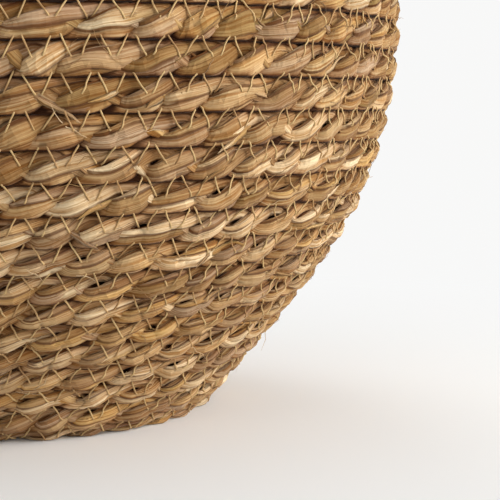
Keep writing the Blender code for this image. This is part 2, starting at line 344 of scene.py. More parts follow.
class Wire:
    """An output socket. Arithmetic on it adds Math nodes, or Vector Math nodes for a vector."""

    def __init__(self, graph, socket):
        self.graph = graph
        self.socket = socket

    def other(self, name):
        """Another output of the same node."""
        return Wire(self.graph, enabled(self.socket.node.outputs, name))

    def pair(self, operation, first, second):
        if not (is_vector(first) or is_vector(second)):
            return self.graph.math(operation, first, second)
        if operation == "MULTIPLY" and not (is_vector(first) and is_vector(second)):
            vector, scale = (first, second) if is_vector(first) else (second, first)
            return self.graph.node("ShaderNodeVectorMath", {0: vector, "Scale": scale}, operation="SCALE")
        return self.graph.node("ShaderNodeVectorMath", {0: first, 1: second}, operation=operation)

    def __add__(self, value):
        return self.pair("ADD", self, value)

    def __radd__(self, value):
        return self.pair("ADD", value, self)

    def __sub__(self, value):
        return self.pair("SUBTRACT", self, value)

    def __rsub__(self, value):
        return self.pair("SUBTRACT", value, self)

    def __mul__(self, value):
        return self.pair("MULTIPLY", self, value)

    def __rmul__(self, value):
        return self.pair("MULTIPLY", value, self)

    def __truediv__(self, value):
        return self.pair("DIVIDE", self, value)

    def __mod__(self, value):
        return self.graph.math("FLOORED_MODULO", self, value)

    def __pow__(self, value):
        return self.graph.math("POWER", self, value)

    def sin(self):
        return self.graph.math("SINE", self)

    def cos(self):
        return self.graph.math("COSINE", self)

    def floor(self):
        return self.graph.math("FLOOR", self)

    def fract(self):
        return self.graph.math("FRACT", self)

    def abs(self):
        return self.graph.math("ABSOLUTE", self)

    def above(self, value):
        return self.graph.math("MAXIMUM", self, value)

    def below(self, value):
        return self.graph.math("MINIMUM", self, value)

    def over(self, low, high):
        """0 under the low value and 1 over the high one, smooth between."""
        return self.graph.node("ShaderNodeMapRange", {"Value": self, "From Min": low, "From Max": high},
                               interpolation_type="SMOOTHSTEP")

    def unit(self):
        return self.graph.node("ShaderNodeVectorMath", {0: self}, operation="NORMALIZE")

    def parts(self):
        first = self.graph.node("ShaderNodeSeparateXYZ", {0: self})
        return first, first.other("Y"), first.other("Z")


def is_vector(value):
    if isinstance(value, Wire):
        return value.socket.type in {"VECTOR", "RGBA"}
    return not isinstance(value, (int, float))


def enabled(sockets, name):
    """A socket by its place, or by its name among those that the node's settings leave in use."""
    if isinstance(name, int):
        return sockets[name]
    return next(socket for socket in sockets if socket.name == name and socket.enabled)


class Graph:
    """Adds nodes to one tree."""

    def __init__(self, tree):
        self.tree = tree

    def node(self, kind, values=None, output=None, **settings):
        """A node: its settings are set first, then each socket takes its value or its link."""
        made = self.tree.nodes.new(kind)
        for name, value in settings.items():
            if name == "stops":
                set_stops(made.color_ramp, value)
            else:
                setattr(made, name, value)
        for name, value in (values or {}).items():
            socket = enabled(made.inputs, name)
            if isinstance(value, Wire):
                self.tree.links.new(value.socket, socket)
            elif socket.type == "RGBA" and len(value) == 3:
                socket.default_value = (*value, 1.0)
            else:
                socket.default_value = value
        if output is not None:
            return Wire(self, enabled(made.outputs, output))
        found = [socket for socket in made.outputs if socket.enabled]
        return Wire(self, found[0]) if found else None

    def math(self, operation, *values):
        return self.node("ShaderNodeMath", dict(enumerate(values)), operation=operation)

    def vector(self, x, y, z):
        return self.node("ShaderNodeCombineXYZ", {0: x, 1: y, 2: z})

    def chance(self, first, second):
        """A random number from 0 to 1 for each pair of numbers."""
        pair = self.vector(first, second, 0.0)
        return self.node("ShaderNodeTexWhiteNoise", {"Vector": pair}, noise_dimensions="2D")

    def mix(self, first, second, factor):
        """Numbers, vectors or colours mixed by a factor."""
        kind = "FLOAT"
        if is_vector(first) or is_vector(second):
            kind = "RGBA" if self.tree.type == "SHADER" else "VECTOR"
        return self.node("ShaderNodeMix", {"A": first, "B": second, "Factor": factor}, data_type=kind)

    def times(self, colour, other):
        """A colour multiplied by another, or by a number."""
        if isinstance(other, float):
            other = (other, other, other)
        return self.node("ShaderNodeMix", {"A": colour, "B": other, "Factor": 1.0},
                         data_type="RGBA", blend_type="MULTIPLY")

    def wander(self, place):
        """A smooth random number from about -1 to 1 along a length counted in its own waves."""
        noise = self.node("ShaderNodeTexNoise", {"W": place, "Scale": 1.0, "Detail": 1.0, "Roughness": 0.5},
                          noise_dimensions="1D")
        return (noise - 0.5) * 3.0

    def position(self):
        return self.node("GeometryNodeInputPosition")

    def named(self, name, kind="FLOAT"):
        return self.node("GeometryNodeInputNamedAttribute", {"Name": name}, data_type=kind)

    def way(self, name):
        """A stored direction, one long."""
        return self.named(name, "FLOAT_VECTOR").unit()

    def store(self, geometry, name, value, kind="FLOAT", domain="POINT"):
        return self.node("GeometryNodeStoreNamedAttribute", {
            "Geometry": geometry, "Name": name, "Value": value}, data_type=kind, domain=domain)

    def dropped(self, geometry, *names):
        for name in names:
            geometry = self.node("GeometryNodeRemoveAttribute", {"Geometry": geometry, "Name": name})
        return geometry

    def placed(self, geometry, place):
        return self.node("GeometryNodeSetPosition", {"Geometry": geometry, "Position": place})

    def shifted(self, geometry, offset):
        return self.node("GeometryNodeSetPosition", {"Geometry": geometry, "Offset": offset})

    def above_floor(self, geometry, height):
        """Points under a height over the floor pressed up to it."""
        x, y, z = self.position().parts()
        return self.placed(geometry, self.vector(x, y, z.above(height)))

    def realized(self, geometry):
        return self.node("GeometryNodeRealizeInstances", {"Geometry": geometry})

    def smooth(self, geometry):
        return self.node("GeometryNodeSetShadeSmooth", {"Geometry": geometry})

    def circle(self, points, radius):
        return self.node("GeometryNodeCurvePrimitiveCircle", {"Resolution": points, "Radius": radius})

    def straight(self, points):
        """A line a metre long, with a number of points."""
        line = self.node("GeometryNodeCurvePrimitiveLine", {"Start": (0.0, 0.0, 0.0), "End": (0.0, 0.0, 1.0)})
        return self.node("GeometryNodeResampleCurve", {"Curve": line, "Count": points}, mode="COUNT")

    def divided(self, path, step):
        """The path's mesh as a curve with a point at each step."""
        line = self.node("GeometryNodeMeshToCurve", {"Mesh": path})
        return self.node("GeometryNodeResampleCurve", {"Curve": line, "Length": step}, mode="LENGTH")

    def copies(self, points, shape):
        """A copy of a shape at each point, which keeps the number and the place of its point."""
        points = self.store(points, "number", self.node("GeometryNodeInputIndex"))
        points = self.store(points, "place", self.position(), "FLOAT_VECTOR")
        return self.realized(self.node("GeometryNodeInstanceOnPoints", {"Points": points, "Instance": shape}))


def set_stops(ramp, stops):
    while len(ramp.elements) < len(stops):
        ramp.elements.new(0.5)
    for element, (position, colour) in zip(ramp.elements, stops):
        element.position = position
        element.color = (*colour, 1.0)


# The inputs that aren't plain numbers.
INPUT_KINDS = {"Seed": "Int", "Points": "Int", "Leg Points": "Int", "Holes": "Object",
               "Braid": "Collection", "Leaf": "Material", "Fibre": "Material"}


def new_tree(name, *labels):
    """A Geometry Nodes tree with named inputs, and wires from its geometry and from each of them."""
    tree = bpy.data.node_groups.new(name, "GeometryNodeTree")
    face = tree.interface
    face.new_socket("Geometry", in_out="INPUT", socket_type="NodeSocketGeometry")
    for label in labels:
        kind = "NodeSocket" + INPUT_KINDS.get(label, "Float")
        face.new_socket(label, in_out="INPUT", socket_type=kind)
    face.new_socket("Geometry", in_out="OUTPUT", socket_type="NodeSocketGeometry")
    graph = Graph(tree)
    entry = graph.node("NodeGroupInput")
    return graph, entry, {label: entry.other(label) for label in labels}


def finish_tree(graph, geometry, material=None):
    """Ends a tree: instances made real, and the finish given."""
    geometry = graph.realized(geometry)
    if material:
        geometry = graph.node("GeometryNodeSetMaterial", {"Geometry": geometry, "Material": material})
    graph.node("NodeGroupOutput", {"Geometry": geometry})
    return graph.tree


def add_object(name, data):
    made = bpy.data.objects.new(name, data)
    bpy.context.scene.collection.objects.link(made)
    return made


def grow(source, tree, values, name):
    """Runs a tree on an object and returns what it makes as a plain mesh object. The source goes.

    An input that has no value here takes the size of its own name.
    """
    modifier = source.modifiers.new(tree.name, "NODES")
    modifier.node_group = tree
    for item in tree.interface.items_tree:
        size = item.name.lower().replace(" ", "_")
        if item.in_out == "INPUT" and item.name in values:
            modifier[item.identifier] = values[item.name]
        elif item.in_out == "INPUT" and hasattr(sizes(), size):
            modifier[item.identifier] = getattr(sizes(), size)
    graph = bpy.context.evaluated_depsgraph_get()
    mesh = bpy.data.meshes.new_from_object(source.evaluated_get(graph), depsgraph=graph)
    mesh.name = name
    bpy.data.objects.remove(source, do_unlink=True)
    return add_object(name, mesh)


def join(objects, name):
    """One mesh object from several."""
    with bpy.context.temp_override(active_object=objects[0], object=objects[0], selected_objects=objects,
                                   selected_editable_objects=objects):
        bpy.ops.object.join()
    objects[0].name = name
    objects[0].data.name = name
    return objects[0]


def plait_tree():
    """Three strands plaited along a path, each a closed bundle of leaves that overlap like tiles."""
    graph, entry, given = new_tree(
        "Plait", "Strand Width", "Strand Thickness", "Sway", "Squareness", "Half Braid", "Rise", "Overlap",
        "Roll", "Lead", "Narrowing", "Plait Length", "Leaf Edge", "Leaf Turn", "Shut In", "Pinch",
        "Pinch Radius", "Holes", "Seed", "Leaf")
    count = graph.node("GeometryNodeAttributeDomainSize", {"Geometry": entry})
    tube = graph.node("GeometryNodeMeshCylinder", {
        "Vertices": COLUMNS, "Side Segments": count - 1.0, "Radius": 1.0, "Depth": 1.0}, fill_type="NGON")
    x, y, z = graph.position().parts()
    around = (graph.math("ARCTAN2", y, x) / math.tau).fract() * COLUMNS
    tube = graph.store(tube, "station", ((z + 0.5) * (count - 1.0) + 0.5).floor())
    tube = graph.store(tube, "column", (around + 0.5).floor() % COLUMNS)
    tube = graph.store(tube, "face_column", around.floor(), domain="FACE")
    three = graph.node("GeometryNodeMeshLine", {"Count": STRANDS, "Offset": (0.0, 0.0, 0.0)})
    three = graph.node("GeometryNodeInstanceOnPoints", {"Points": three, "Instance": tube})
    three = graph.store(three, "strand", graph.node("GeometryNodeInputIndex"), domain="INSTANCE")
    plait = graph.realized(three)
    station, column, strand = graph.named("station"), graph.named("column"), graph.named("strand")

    def sampled(value, kind):
        return graph.node("GeometryNodeSampleIndex", {"Geometry": entry, "Value": value, "Index": station},
                          data_type=kind, clamp=True)

    place = sampled(graph.position(), "FLOAT_VECTOR")
    out, across, ahead = (
        sampled(graph.named(name, "FLOAT_VECTOR"), "FLOAT_VECTOR") for name in ("out", "across", "ahead"))
    run, size = (sampled(graph.named(name), "FLOAT") for name in ("run", "size"))
    seed = given["Seed"] * 17.3

    def along(waves, key=0.0, strands=0.0, more=0.0):
        """A place for smooth chance in so many waves a metre, its own for each key and strand."""
        return run * waves + more + strand * strands + seed + key

    def wobble(*where):
        return graph.wander(along(*where))

    # The strand's way through the braid: to the sides, up over the others and down under them.
    stray = 0.11 * wobble(16.0) + 0.045 * wobble(24.0, 520.0, 13.7)
    phase = (run / given["Plait Length"] + strand / STRANDS + stray) * math.tau
    beat, back, early = phase.sin(), phase.cos(), (phase + given["Lead"]).cos()
    swing = given["Sway"] * (1.0 + 0.14 * wobble(30.0, 40.0, 11.3))
    side = beat * (1.0 + given["Squareness"] * back * back) * swing
    side = side + 0.0005 * wobble(26.0, 90.0, 5.1)
    lift = beat * back * given["Rise"] * -2.0 + back * given["Overlap"]
    lift = lift + 0.0005 * wobble(33.0, 140.0, 3.3)
    slope = back * (1.0 + given["Squareness"] * (1.0 - 3.0 * beat * beat)) * given["Sway"]
    turn = graph.math("ARCTANGENT", slope / given["Plait Length"] * math.tau)
    grain = ahead * turn.cos() + across * turn.sin()

    # The points round it. A leaf's four points lie just inside its edges, the last higher than the first.
    leaf = (column / POINTS_A_LEAF).floor()
    part = column - leaf * POINTS_A_LEAF

    def leaf_start(leaf):
        """Share of the way round the strand where a leaf starts."""
        here = along(14.0, 190.0, 41.0, (leaf % LEAVES) * 9.7)
        return (leaf + 0.45 * graph.wander(here) + 0.05 * graph.wander(here * 6.0 + 33.0)) / LEAVES

    around = graph.mix(leaf_start(leaf), leaf_start(leaf + 1.0), part * 0.316 + 0.02)
    around = (around + run / given["Leaf Turn"] + 0.10 * wobble(9.0, 610.0, 17.7)) * math.tau
    edge = given["Leaf Edge"] * (0.9 + wobble(36.0, 260.0, 23.0, leaf * 6.1))
    step = edge * (part * 0.62 - part * part * 0.10 - 0.5)
    dent = 0.00022 * wobble(110.0, 330.0, 61.0, column * 3.7)
    wide = given["Strand Width"] / 2.0 * (1.0 + 0.17 * wobble(34.0, 400.0, 7.9))
    wide = wide * (1.0 - given["Narrowing"] * (0.5 + beat * back))
    thick = given["Strand Thickness"] / 2.0 * (1.0 + 0.14 * wobble(30.0, 470.0, 4.7))
    flat = around.cos().abs() ** STRAND_POWER + around.sin().abs() ** STRAND_POWER
    flat = flat ** (-1 / STRAND_POWER)
    x = around.cos() * flat * (wide * size + step + dent)
    y = around.sin() * flat * (thick * size + step + dent)

    # Both together, pressed in between the neighbours.
    depth = lift * size + y + x * early * graph.math("TANGENT", given["Roll"])
    reach = side * size + x * turn.cos()
    squeeze = 1.0 + (reach.abs() / given["Half Braid"]) ** SQUEEZE_POWER
    reach_across = reach * squeeze ** (-1 / SQUEEZE_POWER)
    moved = place + across * reach_across - ahead * (x * turn.sin()) + out * depth
    plait = graph.placed(plait, moved)

    # What the finish reads: the map of each leaf, and how much painted shade a point takes, for how deep
    # between the strands it lies and for the braid's sides and the side under the next row, shut in by its
    # neighbours.
    face_column = graph.named("face_column")
    face_leaf = (face_column / POINTS_A_LEAF).floor()
    reach = face_column - face_leaf * POINTS_A_LEAF + (column - face_column) % COLUMNS
    over_leaf = (reach * 0.33).below(0.999)
    leaf_map = graph.vector(run, strand * LEAVES + face_leaf + over_leaf, 0.0)
    plait = graph.store(plait, "Leaf", leaf_map, "FLOAT2", "CORNER")
    plait = graph.store(plait, "grain", grain, "FLOAT_VECTOR")
    plait = graph.store(plait, "outward", out, "FLOAT_VECTOR")
    # Painted shade: darkest deep between the strands, at the braid's edges and over the side that lies under
    # the next row.
    deep = 1.0 - (depth.abs() / (given["Rise"] + thick)).over(0.12, 0.85)
    beside = reach_across / given["Half Braid"]
    painted_side_shade = beside.abs().over(0.80, 0.97).above(beside.over(0.2, 1.0) * 0.65)
    plait = graph.store(plait, "deep", deep.above(painted_side_shade) * (0.3 + 0.7 * given["Shut In"]))

    # The thread's holes press the braid flat round them.
    spot = graph.node("GeometryNodeObjectInfo", {"Object": given["Holes"]}, "Geometry")
    away = graph.node("GeometryNodeProximity", {0: spot}, "Distance", target_element="EDGES")
    near = graph.math("EXPONENT", (away / given["Pinch Radius"]) ** 2.0 * -1.0)
    plait = graph.store(plait, "pinched", near)
    pull = graph.named("outward", "FLOAT_VECTOR") * (y / thick * 2.0).above(-1.0).below(1.0)
    plait = graph.shifted(plait, pull * graph.named("pinched") * given["Pinch"] * -1.0)
    plait = graph.above_floor(plait, CLEARANCE)
    on_leaf = graph.named("column") % POINTS_A_LEAF
    edges = graph.math("GREATER_THAN", (on_leaf - 1.5).abs(), 1.4)
    plait = graph.node("GeometryNodeSetShadeSmooth", {
        "Geometry": plait, "Selection": edges, "Shade Smooth": False}, domain="EDGE")
    plait = graph.dropped(plait, "station", "column", "face_column")
    return finish_tree(graph, plait, given["Leaf"])


STITCH_INPUTS = ("Stitch", "Stitch Above", "Stitch Below", "Stitch Gap", "Zigzag", "Shift", "Leg Points",
                 "Seed")


def sewn(graph, entry, given):
    """The legs of the zigzag as curves on the path's own surface, from above the seam to below it.

    With Zigzag at 0 they are the short stitches that join two holes on the inside.
    """
    half = given["Stitch"] / 2.0
    legs = graph.copies(graph.divided(entry, half), graph.straight(given["Leg Points"]))
    down = graph.node("GeometryNodeSplineParameter")
    number = graph.named("number")
    odd = number % 2.0

    def stray(key, most):
        return most * (graph.chance(number, given["Seed"] + key) * 2.0 - 1.0)

    top = given["Stitch Above"] + stray(1.0, HOLE_STRAY)
    bottom = given["Stitch Below"] * -1.0 + stray(2.0, HOLE_STRAY)
    height = graph.mix(top, bottom, graph.mix(odd, down, given["Zigzag"]))
    spread = graph.mix(given["Stitch Gap"], (half - given["Stitch Gap"]) * (1.0 - odd * 2.0), given["Zigzag"])
    skew = graph.mix(stray(3.0, LEG_SKEW), stray(4.0, LEG_SKEW), down)
    along = (down - 0.5) * spread + skew + given["Shift"]
    place = graph.named("place", "FLOAT_VECTOR") + graph.way("across") * height + graph.way("ahead") * along
    return graph.placed(legs, place), down


def hole_tree():
    """An edge straight through the wall at each hole that the thread goes through."""
    graph, entry, given = new_tree("Holes", *STITCH_INPUTS, "Wall")
    legs, _ = sewn(graph, entry, given)
    points = graph.node("GeometryNodeCurveToPoints", {"Curve": legs, "Count": 2}, mode="COUNT")
    points = graph.node("GeometryNodePointsToVertices", {"Points": points})
    points = graph.shifted(points, graph.way("out") * given["Wall"] * -0.5)
    through = graph.way("out") * given["Wall"]
    points = graph.node("GeometryNodeExtrudeMesh", {"Mesh": points, "Offset": through}, mode="VERTICES")
    return finish_tree(graph, points)


def whole_braid(graph, given):
    return graph.realized(graph.node("GeometryNodeCollectionInfo", {"Collection": given["Braid"]}))


def laid(graph, lines, braid, way, reach):
    """Lines that know how far along a way the braid lies from them, pulled straight over its hollows."""
    hit = graph.node("GeometryNodeRaycast", {
        "Target Geometry": braid, "Source Position": graph.position() + way * reach,
        "Ray Direction": way * -1.0, "Ray Length": reach * 2.0})
    lines = graph.store(lines, "height", (reach - hit.other("Hit Distance")) * hit)
    height = graph.named("height")
    taut = graph.node("GeometryNodeBlurAttribute", {"Value": height, "Iterations": 8, "Weight": 0.9},
                      data_type="FLOAT")
    return lines, taut.above(height)


def thread_tree():
    """The zigzag of thread, laid taut over the braid from hole to hole."""
    graph, entry, given = new_tree(
        "Thread", *STITCH_INPUTS, "Facing", "Reach", "Thread Radius", "Dive", "Braid", "Fibre")
    legs, down = sewn(graph, entry, given)
    way = graph.way("out") * given["Facing"]
    legs, height = laid(graph, legs, whole_braid(graph, given), way, given["Reach"])
    height = height + given["Thread Radius"] * 0.7
    dive = (down - 0.5).abs().over(0.39, 0.5) * given["Dive"]
    legs = graph.shifted(legs, way * (height - dive))
    legs = graph.above_floor(legs, given["Thread Radius"] + CLEARANCE)
    thread = graph.node("GeometryNodeCurveToMesh", {
        "Curve": legs, "Profile Curve": graph.circle(5, given["Thread Radius"]), "Fill Caps": True})
    thread = graph.dropped(graph.smooth(thread), "height", "number", "place", "out", "across", "ahead")
    return finish_tree(graph, thread, given["Fibre"])


def loose_tree():
    """Torn leaf ends or fibres over the braid: each starts under a leaf's edge and lifts at its free end."""
    graph, _, given = new_tree("Loose", "Braid", "Density", "Facing", "Reach", "Length", "Width",
                               "Thickness", "Lift", "Bend", "Points", "Seed", "Leaf")
    braid = whole_braid(graph, given)
    normal = graph.node("GeometryNodeInputNormal")
    facing = graph.node("ShaderNodeVectorMath", {0: normal, 1: graph.named("outward", "FLOAT_VECTOR")},
                        "Value", operation="DOT_PRODUCT") * given["Facing"]
    _, _, z = graph.position().parts()
    near_floor = (BARE_HEIGHT - z).above(0.0) * 1e4
    open_faces = graph.math("GREATER_THAN", facing - graph.named("deep") - near_floor, 0.55)
    spots = graph.node("GeometryNodeDistributePointsOnFaces", {
        "Mesh": braid, "Selection": open_faces, "Density": given["Density"], "Seed": given["Seed"]})
    lines = graph.copies(spots, graph.straight(given["Points"]))
    part = graph.node("GeometryNodeSplineParameter")
    number = graph.named("number")

    def chance(key):
        return graph.chance(number, given["Seed"] * 7.0 + key)

    # Most run ahead along the grain and some run back, each with its own length and bend.
    way = graph.way("outward") * given["Facing"]
    side = graph.node("ShaderNodeVectorMath", {0: way, 1: graph.way("grain")}, operation="CROSS_PRODUCT")
    reach = given["Length"] * (0.35 + 1.1 * chance(1.0))
    forward = ((chance(2.0) - 0.4) * 1000.0).above(-1.0).below(1.0)
    bend = (chance(3.0) - 0.5) * given["Bend"]
    wave = graph.wander(part * 2.5 + number * 9.0) * given["Bend"] * 0.12
    along = graph.way("grain") * (part * reach * forward)
    aside = side * ((bend * part * part + wave * part) * reach)
    lines = graph.placed(lines, graph.named("place", "FLOAT_VECTOR") + along + aside)
    lines, height = laid(graph, lines, braid, way, given["Reach"])
    rise = given["Lift"] * part ** 2.4 * chance(4.0) * (1.0 + graph.wander(number * 3.0))
    height = height + given["Thickness"] * 0.6 + rise - (1.0 - part.over(0.0, 0.16)) * LEAF_TUCK
    lines = graph.shifted(lines, way * height)
    lines = graph.above_floor(lines, given["Thickness"] + CLEARANCE)
    lines = graph.store(lines, "leaf_run", part * reach + number * 0.37)
    lines = graph.node("GeometryNodeSetCurveNormal", {"Curve": lines, "Normal": way}, mode="FREE")

    ring = graph.circle(4, 1.0)
    x, y, _ = graph.position().parts()
    ring = graph.store(ring, "over_leaf", y * 0.45 + 0.5)
    ring = graph.placed(ring, graph.vector(x * given["Thickness"] * 0.5, y * given["Width"] * 0.5, 0.0))
    taper = (1.0 - part ** 2.6) * (0.45 + 0.55 * part.over(0.0, 0.3)) + 0.06
    taper = taper * (0.55 + 0.8 * chance(5.0))
    blades = graph.node("GeometryNodeCurveToMesh", {
        "Curve": lines, "Profile Curve": ring, "Scale": taper, "Fill Caps": True})
    leaf = (graph.named("number") * 0.73 + 3.0).floor() % 37.0
    leaf_map = graph.vector(graph.named("leaf_run"), leaf + graph.named("over_leaf"), 0.0)
    blades = graph.smooth(graph.store(blades, "Leaf", leaf_map, "FLOAT2", "CORNER"))
    blades = graph.dropped(blades, "number", "place", "height", "leaf_run", "over_leaf", "grain", "outward",
                           "deep", "pinched")
    return finish_tree(graph, blades, given["Leaf"])


def lashing_tree():
    """Turns of thread round the foot of a handle, each through the wall behind it."""
    graph, entry, given = new_tree(
        "Lashing", "Spacing", "Half Width", "Half Depth", "Through", "Slant", "Thread Radius", "Fibre")
    rings = graph.copies(graph.divided(entry, given["Spacing"]), graph.circle(28, 1.0))
    around = graph.node("GeometryNodeSplineParameter") * math.tau
    wide, thick = around.cos(), around.sin()
    square = (wide.abs() ** LASHING_POWER + thick.abs() ** LASHING_POWER) ** (-1 / LASHING_POWER)
    number = graph.named("number")
    slant = given["Slant"] * (1.0 - (number % 2.0) * 2.0) * wide
    slant = slant + LASHING_STRAY * (graph.chance(number, 5.0) - 0.5)
    depth = thick * square * given["Half Depth"] + thick.below(0.0) * given["Through"]
    place = graph.named("place", "FLOAT_VECTOR") + graph.way("across") * (wide * square * given["Half Width"])
    place = place + graph.way("out") * depth + graph.way("ahead") * slant
    rings = graph.placed(rings, place)
    thread = graph.node("GeometryNodeCurveToMesh", {
        "Curve": rings, "Profile Curve": graph.circle(6, given["Thread Radius"])})
    thread = graph.dropped(graph.smooth(thread), "number", "place", "out", "across", "ahead", "run", "size")
    return finish_tree(graph, thread, given["Fibre"])


# Finishes.


def new_material(name):
    material = bpy.data.materials.new(name)
    material.use_nodes = True
    material.node_tree.nodes.clear()
    return material, Graph(material.node_tree)


def seagrass(name, shade=1.0, key=0.0):
    """Dried leaves, each its own tone, streaked along its length and browned at its edges."""
    material, graph = new_material(name)
    tones = colours()
    run, leaf_place, _ = graph.node("ShaderNodeUVMap", uv_map="Leaf").parts()
    over_leaf = leaf_place.fract()
    leaf = leaf_place.floor() + key

    def noise(waves, over, where, detail=2.0, roughness=0.55):
        """Noise in so many waves a metre along the leaf."""
        place = graph.vector(run * waves, over, where)
        return graph.node("ShaderNodeTexNoise", {
            "Vector": place, "Scale": 1.0, "Detail": detail, "Roughness": roughness}, noise_dimensions="3D")

    # A leaf is several pieces end to end, each with a tone of its own. The lower rows are painted paler and
    # brighter, as painted light from below.
    ragged = noise(30.0, over_leaf * 6.0, leaf, 3.0) * 0.035
    reach = 0.085 + 0.09 * graph.chance(leaf, 3.0)
    piece = ((run + ragged) / reach + graph.chance(leaf, 9.0)).floor()
    pick = graph.chance(leaf * 1.37 + 0.5, piece * 2.11)
    drift = noise(18.0, over_leaf * 1.2, leaf * 3.1 + piece) - 0.5
    # Painted light: the lower rows, which face down towards the floor, are lifted in tone and brightness
    # under 0.22 m.
    _, _, height = graph.node("ShaderNodeTexCoord", output="Object").parts()
    low = 1.0 - height.over(0.04, 0.22)
    base = graph.node("ShaderNodeValToRGB", {0: pick + drift * 0.36 + low * 0.14}, stops=[
        (0.00, tones.olive), (0.17, tones.tan), (0.36, tones.ash), (0.52, tones.tan), (0.70, tones.straw),
        (0.80, tones.honey), (0.86, tones.straw), (1.00, tones.cream)])
    light = 0.84 + 0.28 * graph.chance(leaf + 4.4, piece + 7.7) + low * 0.10

    fine = noise(45.0, over_leaf * 17.0, leaf * 5.3 + piece, 3.0, 0.6)
    grain = noise(26.0, over_leaf * 7.0, leaf * 3.9 + piece + 12.0)
    broad = noise(34.0, over_leaf * 2.2, leaf * 2.7 + piece + 30.0)
    pale = 0.42 * fine.over(0.28, 0.72) + 0.33 * grain.over(0.3, 0.7) + 0.25 * broad.over(0.3, 0.7)
    colour = graph.times(graph.times(base, light),
                         graph.mix(tones.streak, (1.07, 1.12, 1.16), pale.over(0.08, 0.92)))

    # Rusty edges, flecks, veins and stains, then painted shade and painted shadow between the strands and
    # round the thread's holes.
    edge = over_leaf.below(1.0 - over_leaf)
    for mark, most in (
            ((1.0 - edge.over(0.0, 0.13)) * noise(42.0, leaf, 5.0, 3.0).over(0.28, 0.52), 0.82),
            (noise(260.0, over_leaf * 9.0, leaf + 70.0, 1.0).over(0.68, 0.76), 0.5),
            (noise(22.0, over_leaf * 15.0, leaf * 1.9 + 50.0, 1.0).over(0.62, 0.72), 0.58),
            (noise(60.0, over_leaf * 2.6, leaf * 7.7 + 90.0, 3.0).over(0.60, 0.78), 0.35)):
        colour = graph.mix(colour, tones.rust, mark * most)
    # Painted shade: a darker tint where strands meet and on the braid's shut-in sides, and near-black painted
    # shadow deep between the strands and in the dents round the thread's holes.
    deep = graph.node("ShaderNodeAttribute", output="Fac", attribute_name="deep")
    pinched = graph.node("ShaderNodeAttribute", output="Fac", attribute_name="pinched")
    colour = graph.mix(colour, graph.times(colour, tones.shade_and_patch_tint), deep)
    hollow_shadow = (deep.over(0.42, 0.92) * 0.92).above(pinched.over(0.6, 1.0) * 0.5)
    colour = graph.times(graph.mix(colour, tones.hollow_shadow, hollow_shadow), shade)

    relief = fine + grain + broad * 0.8 + noise(150.0, over_leaf * 34.0, leaf) * 0.5
    bump = graph.node("ShaderNodeBump", {"Strength": 0.7, "Distance": 0.0007, "Height": relief})
    shader = graph.node("ShaderNodeBsdfPrincipled", {
        "Base Color": colour, "Roughness": 0.50 + 0.24 * broad + 0.12 * fine, "Normal": bump,
        "Specular IOR Level": 0.08, "Sheen Weight": 0.06, "Sheen Roughness": 0.4})
    graph.node("ShaderNodeOutputMaterial", {"Surface": shader})
    return material


def thread_finish():
    """Twisted straw-coloured thread."""
    material, graph = new_material("thread")
    tones = colours()
    place = graph.node("ShaderNodeTexCoord", output="Object")
    patch = graph.node("ShaderNodeTexNoise", {"Vector": place, "Scale": 90.0, "Detail": 2.0})
    fine = graph.node("ShaderNodeTexNoise", {"Vector": place, "Scale": 1800.0, "Detail": 1.0})
    dark = [part * shade for part, shade in zip(tones.thread, tones.shade_and_patch_tint)]
    colour = graph.mix(tones.thread, dark, patch.over(0.35, 0.75) * 0.6)
    bump = graph.node("ShaderNodeBump", {"Strength": 0.4, "Distance": 0.0002, "Height": fine})
    shader = graph.node("ShaderNodeBsdfPrincipled", {
        "Base Color": colour, "Roughness": 0.55 + 0.2 * fine, "Normal": bump})
    graph.node("ShaderNodeOutputMaterial", {"Surface": shader})
    return material


# Pieces.

SHARED = {}


def shared(make):
    """Something that several operators use, made once."""
    if make not in SHARED:
        SHARED[make] = make()
    return SHARED[make]


def path_object(name, place, **carried):
    """A line of points that carries vectors and numbers."""
    mesh = bpy.data.meshes.new(name)
    edges = np.stack([np.arange(len(place) - 1), np.arange(1, len(place))], 1)
    mesh.from_pydata(place.tolist(), edges.tolist(), [])
    for label, values in carried.items():
        kind, field = ("FLOAT_VECTOR", "vector") if values.ndim == 2 else ("FLOAT", "value")
        mesh.attributes.new(label, kind, "POINT").data.foreach_set(field, values.ravel())
    return add_object(name, mesh)


def row_path(name, first, last):
    """The path of one piece of the strip, its section leaning so that its lower edge stands out."""
    turns = turns_between(first, last, sizes().step)
    place, out, across, ahead, size = strip_ways(turns)
    lean = sizes().row_lean + FOOT_LIFT * np.exp(-((turns - BASE_TURNS) / FOOT_LIFT_TURNS) ** 2)
    cos, sin = np.cos(lean)[:, None], np.sin(lean)[:, None]
    return path_object(name, place, out=out * cos + across * sin, across=across * cos - out * sin,
                       ahead=ahead, run=np.interp(turns, TURN_TABLE, RUN_TABLE), size=size)


def seam_path(name, first, last):
    """The path of the seam above the strip, from one turn count to another."""
    place, out, across, ahead, _ = strip_ways(turns_between(first, last, SEAM_STEP), shift=0.5)
    return path_object(name, place, out=out, across=across, ahead=ahead)


def stitch_values(zigzag, points):
    return {"Zigzag": zigzag, "Leg Points": points, "Shift": 0.0 if zigzag else -sizes().stitch / 4,
            "Seed": STITCH_SEED}


def holes():
    """Every hole of the sewing, as one mesh of short edges."""
    values = stitch_values(1.0, 2) | {"Wall": WALL_REACH}
    made = join([grow(seam_path(name + "_seam", *ends), shared(hole_tree), values, name + "_holes")
                 for name, ends in SEAMS.items()], "holes")
    made.hide_render = True
    return made


def braid():
    """The collection of braids, which the thread and the loose leaves are laid on."""
    made = bpy.data.collections.new("braid")
    bpy.context.scene.collection.children.link(made)
    return made


def plait(name, path, values, finish):
    """A plaited piece on a path, which the thread is later laid on."""
    values = {"Shut In": SHUT_IN.get(name, 1.0), "Holes": shared(holes), "Leaf": finish} | values
    made = grow(path, shared(plait_tree), values, name)
    shared(braid).objects.link(made)
    return made


